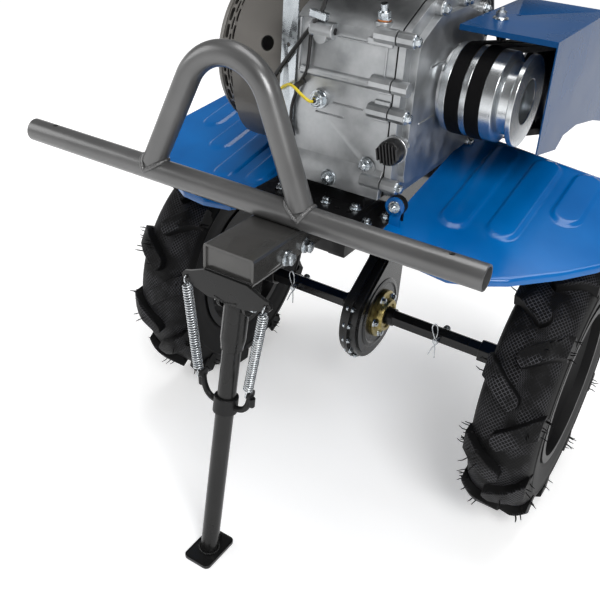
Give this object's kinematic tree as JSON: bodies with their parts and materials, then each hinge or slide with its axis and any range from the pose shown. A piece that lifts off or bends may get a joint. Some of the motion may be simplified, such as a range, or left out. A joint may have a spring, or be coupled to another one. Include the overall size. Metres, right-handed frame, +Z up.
{
  "type": "garden tiller",
  "caption": "Two-wheel walking garden tiller with engine, belt drive, mudguards, lugged tyres, handlebars, arched front bumper bar and sprung front stand.",
  "frame": {"origin": "middle of the machine's length and width, at floor level", "axes": "+Z up; -Y the way the machine drives, towards its front bumper and stand; +X towards the belt side, along the wheel axle"},
  "size_m": [0.8948, 1.485, 0.9815],
  "materials": {
    "air_cleaner": "matte",
    "axle_flange_left": "satin",
    "axle_flange_right": "satin",
    "belt_cover": "gloss",
    "belt_inner": "matte",
    "belt_outer": "matte",
    "bumper_bar": "satin",
    "chain_case": "satin",
    "clutch_clamp": "satin",
    "clutch_lever": "satin",
    "control_plate": "satin",
    "cover_stay": "satin",
    "crankcase": "satin",
    "crankcase_cover": "satin",
    "crankcase_gasket": "matte",
    "crankshaft": "satin",
    "cylinder_head": "satin",
    "driven_pulley": "satin",
    "engine_frame": "satin",
    "engine_pulley": "satin",
    "fan_shroud": "satin",
    "flywheel": "satin",
    "front_bracket": "gloss",
    "fuel_cap": "satin",
    "fuel_tank": "gloss",
    "gear_lever": "satin",
    "gearbox": "satin",
    "grip_left": "matte",
    "grip_right": "matte",
    "handlebar": "satin",
    "hitch_bracket": "satin",
    "hitch_pin": "satin",
    "hub_left": "satin",
    "hub_right": "satin",
    "idler_arm": "satin",
    "idler_roller": "satin",
    "input_shaft": "satin",
    "mudguard_left": "gloss",
    "mudguard_right": "gloss",
    "muffler": "satin",
    "oil_filler_cap": "satin",
    "oil_level_sender": "satin",
    "recoil_cover": "satin",
    "rim_left": "satin",
    "rim_right": "satin",
    "rocker_cover": "satin",
    "sender_wire": "satin",
    "stand_bracket": "gloss",
    "stand_collar": "satin",
    "stand_leg": "gloss",
    "stand_pivot_bolt": "satin",
    "stand_spring_left": "satin",
    "stand_spring_right": "satin",
    "starter_grip": "satin",
    "swivel_head": "satin",
    "tank_bracket": "satin",
    "throttle_cable": "satin",
    "tyre_left": "matte",
    "tyre_right": "matte",
    "wheel_axle": "satin"
  },
  "bodies": {
    "chassis": {"air_cleaner": "air_cleaner", "axle_flange_left": "axle_flange_left", "axle_flange_right": "axle_flange_right", "belt_cover": "belt_cover", "belt_inner": "belt_inner", "belt_outer": "belt_outer", "bumper_bar": "bumper_bar", "chain_case": "chain_case", "control_plate": "control_plate", "cover_stay": "cover_stay", "crankcase": "crankcase", "crankcase_cover": "crankcase_cover", "crankcase_gasket": "crankcase_gasket", "cylinder_head": "cylinder_head", "engine_frame": "engine_frame", "fan_shroud": "fan_shroud", "front_bracket": "front_bracket", "fuel_tank": "fuel_tank", "gearbox": "gearbox", "hitch_bracket": "hitch_bracket", "mudguard_left": "mudguard_left", "mudguard_right": "mudguard_right", "muffler": "muffler", "oil_level_sender": "oil_level_sender", "recoil_cover": "recoil_cover", "rocker_cover": "rocker_cover", "sender_wire": "sender_wire", "stand_bracket": "stand_bracket", "stand_pivot_bolt": "stand_pivot_bolt", "tank_bracket": "tank_bracket", "throttle_cable": "throttle_cable"},
    "wheels": {"wheel_axle": "wheel_axle", "hub_left": "hub_left", "hub_right": "hub_right", "rim_left": "rim_left", "rim_right": "rim_right", "tyre_left": "tyre_left", "tyre_right": "tyre_right"},
    "stand": {"stand_leg": "stand_leg", "stand_collar": "stand_collar", "stand_spring_left": "stand_spring_left", "stand_spring_right": "stand_spring_right"},
    "crank": {"crankshaft": "crankshaft", "flywheel": "flywheel", "engine_pulley": "engine_pulley"},
    "driven": {"driven_pulley": "driven_pulley", "input_shaft": "input_shaft"},
    "swivel": {"swivel_head": "swivel_head"},
    "bars": {"handlebar": "handlebar", "grip_left": "grip_left", "grip_right": "grip_right", "clutch_clamp": "clutch_clamp"},
    "lever": {"clutch_lever": "clutch_lever"},
    "idler": {"idler_arm": "idler_arm", "idler_roller": "idler_roller"},
    "gear_stick": {"gear_lever": "gear_lever"},
    "starter": {"starter_grip": "starter_grip"},
    "filler_cap": {"oil_filler_cap": "oil_filler_cap"},
    "tank_cap": {"fuel_cap": "fuel_cap"},
    "drop_pin": {"hitch_pin": "hitch_pin"}
  },
  "joints": [
    {"name": "wheels_turn", "type": "hinge", "parent": "chassis", "child": "wheels", "pos_m": [0.0516, -0.2695, 0.232], "axis": [1, 0, 0], "continuous": true},
    {"name": "stand_fold", "type": "hinge", "parent": "chassis", "child": "stand", "pos_m": [0.0236, -0.6445, 0.4265], "axis": [1, 0, 0], "range_deg": [0, 45], "stiffness_Nm_per_rad": 12, "springref_deg": -28.65, "deforming": ["stand_spring_left", "stand_spring_right"]},
    {"name": "crank_turn", "type": "hinge", "parent": "chassis", "child": "crank", "pos_m": [0.0516, -0.3195, 0.671], "axis": [1, 0, 0], "continuous": true},
    {"name": "driven_turn", "type": "hinge", "parent": "chassis", "child": "driven", "pos_m": [0.0516, 0.0005, 0.605], "axis": [1, 0, 0], "continuous": true},
    {"name": "bars_swivel", "type": "hinge", "parent": "chassis", "child": "swivel", "pos_m": [0.0236, 0.0205, 0.65], "axis": [0, 0, 1], "range_deg": [-20, 20]},
    {"name": "bars_height", "type": "hinge", "parent": "swivel", "child": "bars", "pos_m": [0.0236, 0.0505, 0.72], "axis": [1, 0, 0], "range_deg": [-10, 15]},
    {"name": "clutch_squeeze", "type": "hinge", "parent": "bars", "child": "lever", "pos_m": [0.3036, 0.6025, 0.931], "axis": [1, 0, 0], "range_deg": [0, 10], "stiffness_Nm_per_rad": 1, "springref_deg": -14.32},
    {"name": "idler_swing", "type": "hinge", "parent": "chassis", "child": "idler", "pos_m": [0.1488, -0.0545, 0.62], "axis": [1, 0, 0], "range_deg": [0, 2.4]},
    {"name": "gear_shift", "type": "hinge", "parent": "chassis", "child": "gear_stick", "pos_m": [0.0236, -0.0415, 0.644], "axis": [1, 0, 0], "range_deg": [-8, 8]},
    {"name": "starter_pull", "type": "slide", "parent": "chassis", "child": "starter", "axis": [0, 0, 1], "range_m": [0, 0.045], "stiffness_N_per_m": 40, "springref_m": -0.02},
    {"name": "filler_turn", "type": "hinge", "parent": "chassis", "child": "filler_cap", "pos_m": [0.1442, -0.4708, 0.616], "axis": [0, 1, 0], "continuous": true},
    {"name": "tank_cap_turn", "type": "hinge", "parent": "chassis", "child": "tank_cap", "pos_m": [0.0631, -0.3495, 0.955], "axis": [0, 0, 1], "continuous": true},
    {"name": "drop_pin_pull", "type": "slide", "parent": "chassis", "child": "drop_pin", "axis": [0, 0, 1], "range_m": [0, 0.09]}
  ],
  "couplings": [
    {"joint": "idler_swing", "follows": "clutch_squeeze", "ratio": 0.24}
  ]
}
